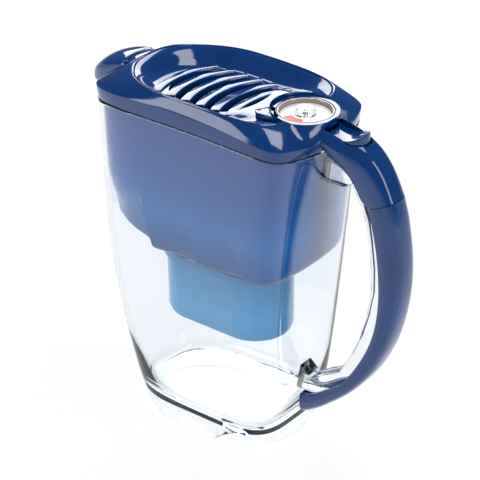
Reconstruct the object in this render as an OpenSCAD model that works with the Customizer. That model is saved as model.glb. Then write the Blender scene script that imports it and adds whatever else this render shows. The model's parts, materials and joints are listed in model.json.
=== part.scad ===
// Water filter pitcher with a louvred flip lid, a refill dial and a thumb lever.
// Base on z = 0, +Z up, spout towards -X, handle towards +X, symmetric about y = 0 but for the dial.

/* [View] */

/* [Jug] */
// Height of the clear jug's rim at the handle side, mm.
jug_h = 247.7; // [220:0.1:275]
// Reach of the jug's front at the rim, from the origin, mm.
rim_front = 110; // [95:1:125]
// Reach of the jug's back at the rim, mm.
rim_rear = 76; // [65:1:85]
// Half the jug's width at the rim, mm.
rim_half_w = 51.5; // [46:0.5:60]
// Reach of the foot towards the front, mm.
foot_front = 79; // [65:1:85]
// Reach of the foot towards the back, mm.
foot_rear = 47; // [38:1:55]
// Half the foot's width, mm.
foot_half_w = 47.5; // [38:0.5:52]
// How far the straight part of the front leans out, mm.
front_lean = 7; // [0:0.5:12]
// How far the straight part of the back leans out, mm.
rear_lean = 26; // [10:1:30]
// Height at which the front turns from its belly to its straight part, mm.
belly_h = 150; // [110:1:180]
// Bow of the back between its two corners, at the rim, mm.
rear_bow = 11; // [4:0.5:14]
// Wall of the clear jug, mm.
jug_wall = 2.4; // [1.8:0.1:3.2]
// Height of the jug's floor inside, mm.
jug_floor = 16.2; // [15.5:0.1:22]
// Height of the two arches in the foot skirt, mm.
foot_arch = 12; // [4:0.5:13]
// How far the pouring lip stands out of the jug, mm.
lip_reach = 24; // [8:1:26]

/* [Lid] */
// Height of the lid's side band, mm.
band_h = 8; // [6:0.5:11]
// Height of the bowl's rim over the jug's rim, mm.
bowl_rise = 19.5; // [16:0.5:23]
// Front end of the bowl opening, from the origin, mm.
bowl_front = 88; // [80:1:92]
// Rear end of the bowl opening, mm.
bowl_rear = 53; // [48:1:56]
// Half the bowl opening's width, mm.
bowl_half_w = 47.5; // [42:0.5:48]
// Depth of the louvred bowl, mm.
bowl_depth = 11; // [8:0.5:14]
// Gap all round the flip lid, mm.
flap_gap = 0.6; // [0.4:0.1:1]
// Shell of the lid mouldings, mm.
lid_wall = 2.2; // [1.8:0.1:3]
// Number of louvre slats.
slat_count = 6; // [4:1:7]
// Distance from one slat to the next, mm.
slat_pitch = 13.2; // [11:0.1:13.5]
// Radius of a slat's sweep in plan, mm.
slat_r = 60; // [56:1:70]
// Width of a slat's flat top, mm.
slat_w = 7; // [5:0.5:8]
// Depth of a slat's blade, mm.
slat_depth = 5.5; // [4:0.5:7]

/* [Hinge and lever] */
// Flip lid's hinge line, X, mm.
hinge_x = 24; // [22:0.5:25]
// Height of the hinge line over the jug's rim, mm.
hinge_rise = 16.3; // [15.3:0.1:17.3]
// Radius of the hinge pins, mm.
hinge_r = 1.5; // [1.2:0.1:1.6]
// Thumb lever's pivot, X, mm.
pivot_x = 80; // [78:0.5:82]
// Height of the lever's pivot over the jug's rim, mm.
pivot_rise = 4.9; // [4.3:0.1:5.3]
// Radius of the lever's pivot pin, mm.
pivot_r = 1.5; // [1.2:0.1:2]
// Radius of the round thumb pad, mm.
pad_r = 10.2; // [9.5:0.1:11]
// Radial running clearance of every pin, mm.
run_gap = 0.08; // [0.04:0.01:0.1]

/* [Dial] */
// Centre of the refill dial, X, mm.
dial_x = 51; // [50:0.5:52]
// Radius of the dial's window, mm.
dial_r = 18.4; // [16:0.1:19]
// Radius of the flat island around the dial, mm.
island_r = 24; // [22.5:0.5:24]
// Height of the island's top over the jug's rim, mm.
island_rise = 18.8; // [18.3:0.1:20.3]
// Depth of the dial's well, mm.
well_depth = 5.2; // [4.8:0.1:7]

/* [Spout flap] */
// Reach of the spout flap's tip, from the origin, mm.
beak_tip = 139; // [130:1:145]
// Half the flap's width at its root, mm.
beak_half_w = 17; // [14:0.5:19]
// Height of the flap's hinge pins over the jug's rim, mm.
beak_pin_rise = 18.9; // [18.4:0.1:19.4]
// Wall of the spout flap, mm.
beak_wall = 2; // [1.6:0.1:2.4]

/* [Hopper and cartridge] */
// Depth of the blue hopper below the jug's rim, mm.
hopper_depth = 107.7; // [95:0.1:115]
// Wall of the hopper, mm.
hopper_wall = 1.8; // [1.4:0.1:2.4]
// Depth of the hopper's flutes along the sides, mm.
flute_depth = 4.5; // [0:0.5:7]
// Depth of the hollow in the hopper's front corners, mm.
flute_front = 9.5; // [0:0.5:11]
// Centre of the cartridge, X, mm.
cart_x = -15; // [-18:0.5:-10]
// Half the straight run between the cartridge's round ends, mm.
cart_half = 23; // [16:0.5:25]
// Radius of the cartridge's round ends, mm.
cart_r = 28; // [24:0.5:30]
// Length of the cartridge below the hopper's floor, mm.
cart_len = 61; // [50:1:66]

/* [Handle] */
// Half the width of the blue handle covers, mm.
cover_half_w = 12.5; // [11:0.5:14]
// Half the width of the handle's head where it leaves the lid, mm.
head_half_w = 16; // [15:0.5:17]
// Wall of the handle covers, mm.
cover_wall = 2.4; // [1.8:0.1:3]

/* [Hidden] */
$fn = 48;
ring_n = 64;
seat = 0.3;
side_gap = 0.7;
lid_z = jug_h + seat;
arch_h = 3;
rim_z = jug_h + bowl_rise;
hinge_z = jug_h + hinge_rise;
pivot_z = jug_h + pivot_rise;
island_z = jug_h + island_rise;
well_floor = island_z - well_depth;
hop_flange = 1.8;
hopper_floor = jug_h - hopper_depth;
cart_bottom = hopper_floor - cart_len;
pad_x = pivot_x + 12.5;
c_lid = "#0B3F7D";
c_hopper = "#124F8F";
c_clear = "#DCE6EE";
c_cart = "#3C8FC6";
c_white = "#F2F2EE";
c_red = "#D4492E";
c_ring = "#8E7F78";
c_dark = "#1B1E24";
c_steel = "#B8BCC2";

jug_body();
jug_handle();
handle_cover();
hopper();
cartridge_casing();
cartridge_cap();
cartridge_seal();
filter_media();
cartridge_mesh();
lid_frame();
handle_head();
dial_well();
dial_bezel();
dial_disc();
dial_sector();
dial_knob();
dial_axle();
dial_pointer();
flip_lid();
louvre_slats();
flip_pins();
thumb_lever();
thumb_pad();
lever_pin();
lever_spring();
spout_flap();
spout_pins();
spout_saddle();

// ---- helpers ----

function clamp01(v) = min(1, max(0, v));
function smooth(v) = let (c = clamp01(v)) c * c * (3 - 2 * c);
function mix(a, b, t) = a + (b - a) * t;
// Ring angles, closer together at the front and at the rear corners than along the sides.
function turn(i, n = ring_n) = let (t = 360 * i / n) t - 11.5 * sin(2 * t) + 3.4 * sin(4 * t);
// Superellipse radius in direction t.
function super_r(t, a, b, n) = pow(pow(abs(cos(t)) / a, n) + pow(abs(sin(t)) / b, n), -1 / n);
// Radius to a back that bows by c per mm squared and meets the sides in rounded corners.
function back_r(t, a, w, c, n) = let (
    ct = cos(t),
    st = max(0.0001, abs(sin(t))),
    side = w / st,
    back = 2 * a / max(0.0001, ct + sqrt(ct * ct + 4 * a * c * st * st))
) pow(pow(side, -n) + pow(back, -n), -1 / n);
function sum_of(v, i = 0) = i >= len(v) ? 0 : v[i] + sum_of(v, i + 1);

// Skin over rings of equal length. The rings climb outside and come down inside.
module skin(rings, loop = true) {
    n = len(rings[0]);
    m = len(rings);
    pts = [for (r = rings) each r];
    low = [for (k = [0:2]) sum_of([for (p = rings[0]) p[k]]) / n];
    high = [for (k = [0:2]) sum_of([for (p = rings[m - 1]) p[k]]) / n];
    last = loop ? m - 1 : m - 2;
    sides = [
        for (j = [0:last])
            for (i = [0:n - 1])
                let (
                    a = j * n + i,
                    b = j * n + (i + 1) % n,
                    c = ((j + 1) % m) * n + (i + 1) % n,
                    d = ((j + 1) % m) * n + i
                ) each [[a, c, b], [a, d, c]]
    ];
    ends = loop ? [] : [
        for (i = [0:n - 1])
            each [
                [m * n, i, (i + 1) % n],
                [m * n + 1, (m - 1) * n + (i + 1) % n, (m - 1) * n + i]
            ]
    ];
    polyhedron(concat(pts, loop ? [] : [low, high]), concat(sides, ends));
}

// Racetrack sweep of a half profile (radius, height) round two centres.
module racetrack(half, pts) {
    translate([half, 0, 0]) rotate([0, 0, -90]) rotate_extrude(angle = 180, $fn = 48) polygon(pts);
    translate([-half, 0, 0]) rotate([0, 0, 90]) rotate_extrude(angle = 180, $fn = 48) polygon(pts);
    translate([-half, 0, 0]) rotate([90, 0, 90]) linear_extrude(2 * half) {
        polygon(pts);
        mirror([1, 0]) polygon(pts);
    }
}

// Round bar along Y, for pins and their bores.
module cross_bar(x, z, r, length) {
    translate([x, 0, z]) rotate([90, 0, 0]) cylinder(r = r, h = length, center = true);
}

// ---- jug shape ----

function lift_k(z) = clamp01(z / jug_h);
function front_x(z) = let (k = lift_k(z), belly = rim_front - foot_front - front_lean)
    -(rim_front - front_lean * (1 - k) - belly * pow(max(0, 1 - z / belly_h), 1.8));
function rear_x(z) = let (k = lift_k(z))
    foot_rear + rear_lean * k + (rim_rear - foot_rear - rear_lean) * pow(k, 3);
function half_w(z) = mix(foot_half_w, rim_half_w, smooth(lift_k(z) * 1.1));
// Rise of the rim line towards mid length, and how much of it shows at height z.
function arch(x) = arch_h * (1 - pow((x + 25) / 92, 2)) * smooth((x + 112) / 30);
function arch_share(z) = smooth((z - jug_h + 78) / 70);
function nose(y) = exp(-pow(y / 12, 2));

// Point of the outline at height z, pushed in or out by off.
function outline(z, t, off = 0) =
    let (
        k = lift_k(z),
        f = front_x(z),
        r = rear_x(z),
        a = (r - f) / 2 + off,
        w = half_w(z) + off,
        front = super_r(t, a, w, 2.2 + 2.6 * sqrt(k)),
        back = back_r(t, a, w, rear_bow * k / pow(rim_half_w - 5.5, 2), 2.2 + 14 * pow(k, 0.7)),
        s = mix(front, back, smooth((cos(t) + 0.2) / 0.6)),
        u = s * cos(t)
    ) [(f + r) / 2 + u, s * sin(t) * (1 + 0.02 * k * u / a)];

// Outline with the pouring lip and the arched rim worked in.
function jug_pt(z, t, off = 0) =
    let (
        p = outline(z, t, off),
        lip = lip_reach * smooth((z - jug_h + 43) / 40) * nose(p[1])
    ) [p[0] - (p[0] < -60 ? lip : 0), p[1], z + arch_share(z) * arch(p[0])];
function jug_ring(z, off = 0) = [for (i = [0:ring_n - 1]) jug_pt(z, turn(i), off)];

// Lower edge of the foot skirt, with an arch on each rear diagonal.
arch_turn = 46;
arch_span = 20;
function foot_z(t) = let (d = abs(abs(t > 180 ? t - 360 : t) - arch_turn))
    d < arch_span ? foot_arch * cos(90 * d / arch_span) : 0;
function foot_ring(z, off, lift = 0) = [
    for (i = [0:ring_n - 1])
        let (
            t = turn(i),
            h = max(z, foot_z(t) + lift),
            p = outline(h, t, off)
        ) [p[0], p[1], h]
];
jug_levels = [for (f = [0.085, 0.16, 0.24, 0.34, 0.45, 0.57, 0.69, 0.8, 0.87, 0.94, 1]) f * jug_h];

module jug_body() {
    under = jug_floor - jug_wall;
    color(c_clear, 0.35) skin(concat(
        [
            jug_ring(under, -14 - jug_wall),
            foot_ring(under - 0.6, -2 * jug_wall),
            foot_ring(0, -jug_wall),
            foot_ring(0, 0),
            foot_ring(4, 0, 1.5)
        ],
        [for (z = jug_levels) jug_ring(z)],
        [for (k = [len(jug_levels) - 1:-1:1]) jug_ring(jug_levels[k], -jug_wall)],
        [jug_ring(jug_floor + 4, -jug_wall - 1)],
        [jug_ring(jug_floor, -jug_wall - 9)]
    ), false);
}

// ---- handle ----

// Stations down the handle: [outer x, z, edge x, z, inner x, z, half width]. Heights are from
// the jug's rim for the head, and shares of the seam's height for the cover below it.
head_path = [
    [57, 17.6, 57, 5, 57, -8, head_half_w + 1.5],
    [72, 16.4, 75, 2.7, 70, -8, head_half_w],
    [88, 14, 80, -1.8, 82, -11, head_half_w - 0.8],
    [101, 9.8, 89, -6.7, 90, -17, head_half_w - 1.6],
    [112, 2.8, 97, -13.2, 95, -23, head_half_w - 2.3],
    [121.7, -8.9, 104, -23.2, 99, -30, cover_half_w + 0.6],
    [129.8, -25.2, 112, -33.2, 103, -36.7, cover_half_w + 0.2]
];
seam_drop = 29.2;
seam_h = jug_h - seam_drop;
cover_path = [
    [129.8, 1.018, 112, 0.9817, 103, 0.966, cover_half_w + 0.2],
    [134.5, 0.943, 115.5, 0.927, 107, 0.915, cover_half_w],
    [138, 0.842, 119.8, 0.8375, 109.9, 0.8375, cover_half_w],
    [139, 0.746, 122.2, 0.745, 112.5, 0.746, cover_half_w],
    [137.4, 0.6545, 122.7, 0.659, 112.7, 0.659, cover_half_w],
    [133, 0.556, 120.6, 0.5675, 109, 0.565, cover_half_w],
    [126.3, 0.4645, 115.5, 0.485, 104, 0.485, cover_half_w],
    [115.5, 0.3675, 106, 0.3935, 96, 0.398, cover_half_w],
    [98.7, 0.269, 92.5, 0.302, 88, 0.334, cover_half_w],
    [81.1, 0.194, 76, 0.2425, 74, 0.2975, cover_half_w],
    [68, 0.147, 66.5, 0.216, 63, 0.262, cover_half_w],
    [57.5, 0.119, 58, 0.206, 55, 0.252, cover_half_w + 0.4]
];
function head_at(s) = [s[0], jug_h + s[1], s[2], jug_h + s[3], s[4], jug_h + s[5], s[6]];
function cover_at(s) = [s[0], s[1] * seam_h, s[2], s[3] * seam_h, s[4], s[5] * seam_h, s[6]];
// Half section of a cover: [share of the width, share of the depth], edge first.
cover_half = [[0.92, 0], [1, 0.2], [1, 0.42], [0.9, 0.68], [0.68, 0.9], [0.46, 0.975], [0.22, 1]];
function cover_points(s, wall) = let (
    o = [s[0], s[1]],
    e = [s[2], s[3]],
    d = norm(o - e),
    u = (o - e) / d,
    m = len(cover_half)
) [
    for (k = [0:2 * m])
        let (
            side = k < m ? -1 : 1,
            c = k == m ? [0, 1] : cover_half[k < m ? k : 2 * m - k],
            q = e + u * (d - wall) * c[1]
        ) [q[0], side * (s[6] - wall) * c[0], q[1]]
];
function cover_ring(s) = let (inner = cover_points(s, cover_wall))
    concat(cover_points(s, 0), [for (k = [len(inner) - 1:-1:0]) inner[k]]);

// Skin over open U sections, with the two ends closed strip by strip.
module channel(rings) {
    n = len(rings[0]);
    m = len(rings);
    half = n / 2;
    pts = [for (r = rings) each r];
    sides = [
        for (j = [0:m - 2])
            for (i = [0:n - 1])
                let (
                    a = j * n + i,
                    b = j * n + (i + 1) % n,
                    c = (j + 1) * n + (i + 1) % n,
                    d = (j + 1) * n + i
                ) each [[a, b, c], [a, c, d]]
    ];
    ends = [
        for (i = [0:half - 2])
            let (a = i, b = i + 1, c = n - 2 - i, d = n - 1 - i, k = (m - 1) * n)
            each [[a, c, b], [a, d, c], [k + a, k + b, k + c], [k + a, k + c, k + d]]
    ];
    polyhedron(pts, concat(sides, ends));
}

// The pad's well in the head is longer than the pad by its travel.
pad_gap = 0.6;
pad_travel = 1.4;
module pad_well() {
    floor_z = pivot_z - 1.6;
    for (dx = [0, pad_travel]) {
        translate([pad_x + dx, 0, floor_z]) cylinder(r = pad_r + pad_gap, h = 30, $fn = 96);
    }
    translate([pivot_x - 6, -pad_r - pad_gap, floor_z])
        cube([pad_x - pivot_x + 6, 2 * (pad_r + pad_gap), 30]);
}
module handle_head() {
    color(c_lid) difference() {
        channel([for (s = head_path) cover_ring(head_at(s))]);
        pad_well();
        translate([dial_x, 0, well_floor - 1.6]) cylinder(r = island_r - 0.4, h = 30, $fn = 96);
        cross_bar(pivot_x, pivot_z, pivot_r + run_gap, 2 * head_half_w - 2.4);
    }
}

seam_gap = 0.03;
module handle_cover() {
    color(c_lid) channel(concat(
        [cover_ring(cover_at(mix(cover_path[0], cover_path[1], seam_gap)))],
        [for (k = [1:len(cover_path) - 1]) cover_ring(cover_at(cover_path[k]))]
    ));
}

// Clear spine: a bar from the jug's back that runs up inside the cover's channel.
spine_gap = 0.65;
spine_w = cover_half_w * 0.92 - cover_wall - spine_gap;
function spine_quad(q, i) = [
    [q[0], -spine_w, q[1]],
    [q[0], spine_w, q[1]],
    [i[0], spine_w * 0.8, i[1]],
    [i[0], -spine_w * 0.8, i[1]]
];
function spine_ring(s, share) = let (o = [s[0], s[1]], e = [s[2], s[3]])
    spine_quad(e + (o - e) * share, [s[4], s[5]]);
function back_x(z) = rear_x(z) - 0.9;
module jug_handle() {
    n = len(cover_path) - 1;
    top_out = jug_h - 8;
    top_in = jug_h - 27;
    foot_out = seam_h * 0.21;
    foot_in = seam_h * 0.3;
    color(c_clear, 0.4) skin(concat(
        [spine_quad([back_x(foot_out), foot_out], [back_x(foot_in), foot_in])],
        [spine_ring(cover_at(cover_path[n - 1]), 0.06)],
        [for (k = [n - 2:-1:1]) spine_ring(cover_at(cover_path[k]), 0.3)],
        [
            spine_ring(cover_at(cover_path[0]), -0.06),
            spine_ring(head_at(head_path[5]), -0.08),
            spine_ring(head_at(head_path[4]), -0.1),
            spine_quad([87, jug_h - 10.4], [88, jug_h - 26.4]),
            spine_quad([back_x(top_out), top_out], [back_x(top_in), top_in])
        ]
    ), false);
}

// ---- hopper ----

flute_pitch = 42.5;
flute_slant = 0.24;
flute_rise = 58;
flute_first = -64;
function flute(x, z) = let (
    down = hopper_floor + flute_rise - z,
    u = (x - flute_first - down * flute_slant) / flute_pitch,
    v = u < 0 ? 0.8 : smooth((u - floor(u)) * 1.12),
    deep = u < 0 ? flute_front * smooth((x + 116) / 26) : flute_depth
) deep * v * smooth(down / 50) * smooth((58 - x) / 18);
function hop_pt(z, t, off) = let (
    p = outline(z, t, off),
    f = flute(p[0], z) * smooth((abs(p[1]) - 6) / 18),
    ends = smooth((abs(p[0] + 10) - 40) / 50) * smooth((hopper_floor + 50 - z) / 45)
) [
    p[0] + (p[0] < flute_first ? 0.35 * f : 0),
    p[1] * (1 - f / max(20, abs(p[1]))),
    z + arch_share(z) * arch(p[0]) + 5 * ends
];
function hop_ring(z, off) = [for (i = [0:ring_n - 1]) hop_pt(z, turn(i), off)];
function track_pt(t, z, r) = let (s = super_r(t, cart_half + r, r, 3.2))
    [cart_x + s * cos(t), s * sin(t), z];
function track_ring(z, r) = [for (i = [0:ring_n - 1]) track_pt(turn(i), z, r)];

module hopper() {
    w = hopper_wall;
    o = -jug_wall - side_gap;
    f = hopper_floor;
    up = jug_h - f;
    levels = [for (k = [0.13, 0.26, 0.4, 0.55, 0.7, 0.86, 0.985]) f + up * k];
    collar = cart_r + 0.5;
    color(c_hopper, 0.75) union() {
        skin(concat(
            [
                track_ring(f - 2.2, collar + 0.9),
                track_ring(f - 1.8, collar + 6.5),
                hop_ring(f + 2.4, o - 9),
                hop_ring(f + 4.6, o - 3),
                hop_ring(f + 8, o - 0.5)
            ],
            [for (z = levels) hop_ring(z, o)],
            [
                hop_ring(lid_z, o),
                hop_ring(lid_z, -1.4),
                hop_ring(lid_z + hop_flange, -1.4),
                hop_ring(lid_z + hop_flange, o - w)
            ],
            [for (k = [len(levels) - 1:-1:0]) hop_ring(levels[k], o - w)],
            [
                hop_ring(f + 8.6, o - w - 1),
                hop_ring(f + 5.6, o - w - 6),
                track_ring(f + 0.2, collar + 6.5),
                track_ring(f, collar + 0.9)
            ]
        ));
        translate([cart_x, 0, 0]) racetrack(cart_half, [
            [collar, f - 2.5],
            [collar + 2.1, f - 2.5],
            [collar + 2.1, f + 7],
            [collar, f + 7]
        ]);
    }
}

// ---- cartridge ----

module cartridge_casing() {
    b = cart_bottom;
    f = hopper_floor;
    color(c_cart, 0.8) translate([cart_x, 0, 0]) racetrack(cart_half, [
        [0, b],
        [cart_r - 6, b],
        [cart_r - 2, b + 2.4],
        [cart_r - 0.4, b + 6.5],
        [cart_r, f - 12.5],
        [cart_r + 2.4, f - 11.2],
        [cart_r + 2.4, f - 2.8],
        [cart_r - 0.2, f - 2.8],
        [cart_r - 0.2, f + 8],
        [cart_r - 2.2, f + 8],
        [cart_r - 2.2, f - 12.5],
        [cart_r - 2.6, b + 7],
        [cart_r - 4.2, b + 4.2],
        [cart_r - 7, b + 2],
        [0, b + 2]
    ]);
}
module cartridge_cap() {
    f = hopper_floor;
    color(c_white) translate([cart_x, 0, 0]) difference() {
        racetrack(cart_half, [
            [0, f + 8.3],
            [cart_r - 0.4, f + 8.3],
            [cart_r - 2, f + 12],
            [cart_r - 10, f + 17],
            [0, f + 18]
        ]);
        for (k = [-4:4]) {
            translate([k * 8 - 1.2, -cart_r * 0.6, f + 7]) cube([2.4, cart_r * 1.2, 14]);
        }
    }
}
module cartridge_seal() {
    f = hopper_floor;
    color(c_dark) translate([cart_x, 0, 0]) racetrack(cart_half, [
        [cart_r - 0.15, f + 1],
        [cart_r + 0.45, f + 1.4],
        [cart_r + 0.45, f + 2.6],
        [cart_r - 0.15, f + 3]
    ]);
}
module filter_media() {
    b = cart_bottom;
    f = hopper_floor;
    color("#4A4E55") translate([cart_x, 0, 0]) racetrack(cart_half, [
        [0, b + 5.5],
        [cart_r - 5, b + 5.5],
        [cart_r - 3.4, b + 9],
        [cart_r - 3.2, f - 12],
        [cart_r - 3.2, f + 5],
        [0, f + 5]
    ]);
}
module cartridge_mesh() {
    b = cart_bottom;
    color(c_white) translate([cart_x, 0, 0]) difference() {
        racetrack(cart_half, [
            [0, b + 2.3],
            [cart_r - 8, b + 2.3],
            [cart_r - 6, b + 5.2],
            [0, b + 5.2]
        ]);
        for (k = [-3:3]) {
            translate([k * 10 - 1.5, -cart_r * 0.5, b]) cube([3, cart_r, 8]);
        }
    }
}

// ---- lid ----

function crease_z(x, y) = lid_z + band_h + 6.5 * (1 - pow((x + 25) / 92, 2))
    + 1.2 * nose(y) * smooth((-90 - x) / 14);
function rim_h(x) = rim_z + 3.6 * (1 - pow((x + 25) / 80, 2)) + 2.4 * smooth((-70 - x) / 20);
function lid_pt(t, off, dz, mode) = let (
    p = outline(lid_z, t, off),
    n = nose(p[1]) * smooth((-85 - p[0]) / 20),
    low = lid_z + arch(p[0]) + 4 * n,
    x = p[0]
) [x, p[1], mode == 0 ? low + dz : crease_z(p[0], p[1]) + dz];
function lid_ring(off, dz, mode) = [for (i = [0:ring_n - 1]) lid_pt(turn(i), off, dz, mode)];

// The lid stands on the hopper's flange, so its band hangs clear of the jug's rim.
band_gap = 0.6;

// Bowl opening: squarer behind than in front.
bowl_cx = (bowl_rear - bowl_front) / 2;
bowl_a = (bowl_rear + bowl_front) / 2;
function bowl_pt(t, grow) = let (
    n = mix(4.6, 2.4, smooth((0.75 - cos(t)) / 1.5)),
    s = super_r(t, bowl_a, bowl_half_w, n) + grow
) [bowl_cx + s * cos(t), s * sin(t)];
function bowl_ring(grow, dz) = [
    for (i = [0:ring_n - 1])
        let (p = bowl_pt(turn(i), grow)) [p[0], p[1], rim_h(p[0]) + dz]
];
// The ledge that carries the closed flip lid, in front of the hinge line only.
function ledge_ring(dz, out) = [
    for (i = [0:ring_n - 1])
        let (
            t = turn(i),
            q = bowl_pt(t, 0),
            p = bowl_pt(t, q[0] < -20 ? -2 + out : 0 + out)
        ) [p[0], p[1], rim_h(p[0]) + dz]
];
function mix_ring(a, b, k, dz) = [for (i = [0:ring_n - 1]) mix(a[i], b[i], k) + [0, 0, dz]];

// Pointed tip of the island, beside the dial on the near side.
module island_tip(g) {
    linear_extrude(island_z - well_floor + 12) polygon([
        [dial_x - 22 - g, -9],
        [dial_x - 28 - 2 * g, -20.5 - g],
        [dial_x - 24, -24 - 1.4 * g],
        [dial_x - 8, -24 - 0.9 * g],
        [dial_x - 8, -9]
    ]);
}
// Deck that falls from the dial's island to the lid's rear corners.
function island_ring(r, dz) = [
    for (i = [0:ring_n - 1])
        let (t = turn(i)) [dial_x + r * cos(t), r * sin(t), island_z + dz]
];
module rear_deck() {
    difference() {
        intersection() {
            skin([
                lid_ring(-1.4, -0.6, 1),
                mix_ring(lid_ring(-1.4, 0, 1), island_ring(island_r - 0.4, -0.1), 0.5, 1),
                island_ring(island_r - 0.4, -0.1),
                island_ring(island_r - 0.4, -2.6),
                mix_ring(lid_ring(-3, -3, 1), island_ring(island_r - 0.4, -2.6), 0.5, 0.4),
                lid_ring(-3, -3, 1)
            ]);
            translate([hinge_x + 2, -60, lid_z]) cube([60, 120, 30]);
        }
        translate([0, 0, lid_z - 5]) linear_extrude(40) difference() {
            polygon([for (i = [0:ring_n - 1]) bowl_pt(turn(i), 0.3)]);
            translate([dial_x, 0]) circle(r = island_r - 0.2, $fn = 96);
        }
    }
}

boss_y = bowl_half_w - 0.8;
module lid_frame() {
    a = lid_ring(0.6, 0, 1);
    b = bowl_ring(0.8, 0);
    color(c_lid) difference() {
        union() {
            skin([
                lid_ring(-1, band_gap, 0),
                lid_ring(0, band_gap, 0),
                lid_ring(0.8, -0.6, 1),
                lid_ring(0.4, 0, 1),
                mix_ring(a, b, 0.5, 0.8),
                bowl_ring(0.9, 0.2),
                bowl_ring(0, -0.3),
                bowl_ring(0, -3.6),
                ledge_ring(-4.2, 0),
                ledge_ring(-5.8, 0),
                ledge_ring(-6, 1.4),
                mix_ring(a, b, 0.5, -1.6),
                lid_ring(-3.4, -2.4, 1),
                lid_ring(-3.4, 2.1, 0),
                lid_ring(-1, 2.1, 0)
            ]);
            rear_deck();
            translate([dial_x, 0, well_floor]) cylinder(r = island_r, h = island_z - well_floor, $fn = 96);
            intersection() {
                translate([0, 0, well_floor + 2]) island_tip(0);
                translate([0, -40, lid_z]) cube([80, 80, island_z - lid_z]);
            }
            for (s = [-1, 1]) {
                translate([hinge_x - 3, s * (boss_y + 1.45) - 1.45, hinge_z - 2.8]) cube([6, 2.9, 3.4]);
            }
        }
        translate([dial_x, 0, well_floor - 2.6]) cylinder(r = dial_r + 1.9, h = 20, $fn = 96);
        cross_bar(hinge_x, hinge_z, hinge_r + run_gap, 2 * bowl_half_w + 1.6);
        translate([62, -5, pivot_z - 3.6]) cube([22, 10, 9]);
        pad_well();
        spout_notch();
    }
}

// ---- spout flap ----

beak_root = 97.6;
beak_len = beak_tip - beak_root;
beak_pin_x = -99;
beak_pin_r = 1;
beak_pin_z = jug_h + beak_pin_rise;
lug_r = 1.7;
function beak_section(x, w, top, low, t) = [
    for (k = [0:12])
        let (a = 180 * k / 12)
        [x, -(w - t) * cos(a), low + (top - low - t) * pow(sin(a), 0.5)]
];
function beak_top(k) = jug_h + mix(22.3, -0.2, pow(k, 2.2)) - 1.2 * smooth(1 - k * 22);
function beak_low(k) = jug_h + mix(14.8, -4.7, smooth(k * 1.2));
function beak_w(k) = beak_half_w * sqrt(max(0.02, 1 - pow(k, 2.2)));
function beak_ring(k) = let (
    x = -beak_root - beak_len * k,
    w = beak_w(k)
) concat(
    beak_section(x, w, beak_top(k), beak_low(k), 0),
    [for (j = [12:-1:0]) beak_section(x, w, beak_top(k), beak_low(k), min(beak_wall, w * 0.4))[j]]
);
beak_steps = [1, 0.96, 0.88, 0.76, 0.6, 0.42, 0.28, 0.16, 0.05, 0];
module spout_flap() {
    color(c_lid) difference() {
        channel([for (k = beak_steps) beak_ring(k)]);
        cross_bar(beak_pin_x, beak_pin_z, beak_pin_r + run_gap, 2 * beak_half_w - 3);
        for (s = [-1, 1]) {
            translate([0, s * 8.25, 0]) cross_bar(beak_pin_x, beak_pin_z, lug_r + 0.3, 3.3);
        }
    }
}
// Notch in the lid's front that the closed flap sits down into.
module spout_notch() {
    skin([
        for (k = [-0.01, 0.05, 0.16, 0.28, 0.42])
            beak_section(-beak_root - beak_len * k, beak_w(max(0, k)) + 0.5, jug_h + 30, beak_low(max(0, k)) - 0.5, 0)
    ], false);
    translate([-106.5, -beak_half_w - 0.3, lid_z + 5]) cube([9.3, 2 * beak_half_w + 0.6, 20]);
}
module spout_pins() {
    color(c_steel) for (s = [-1, 1]) {
        translate([0, s * 11.4, 0]) cross_bar(beak_pin_x, beak_pin_z, beak_pin_r, 7.8);
    }
}

// Raised saddle behind the spout flap's seam, with the two lugs of its pins.
function saddle_ring(x, w, top, low) = [
    for (k = [12:-1:0])
        let (a = 180 * k / 12) [x, -w * cos(a), low + (top - low) * pow(sin(a), 0.5)]
];
module spout_saddle() {
    saddle_x = -96.2;
    color(c_lid) difference() {
        union() {
            skin([
                for (k = [0:3])
                    saddle_ring(saddle_x + 2.7 * k, beak_half_w + 0.8 * k, jug_h + 22.3 + 0.3 * k, jug_h + 13.3)
            ], false);
            for (s = [-1, 1]) {
                translate([0, s * 8.25, 0]) cross_bar(beak_pin_x, beak_pin_z, lug_r, 2.5);
                translate([beak_pin_x, s * 8.25 - 1.25, beak_pin_z - lug_r]) cube([4, 2.5, lug_r - 0.3]);
            }
        }
        cross_bar(beak_pin_x, beak_pin_z, beak_pin_r, 24);
    }
}

// ---- flip lid ----

// Edge of the fill hole in the dish.
function hole_pt(t) = let (s = super_r(t, 36.5, 29.5, 2.6)) [-23 + s * cos(t), s * sin(t)];
// Height of the dish: it falls from the rim and climbs again towards the dial's island.
function dish_z(x, y, k) = let (
    fall = bowl_depth * smooth((1 - k) / 0.75),
    climb = smooth((x + 6) / 22) * smooth((34 - abs(y)) / 12)
) mix(rim_h(x) - fall, hinge_z - 1.4, climb * smooth((1 - k) / 0.2));
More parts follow.
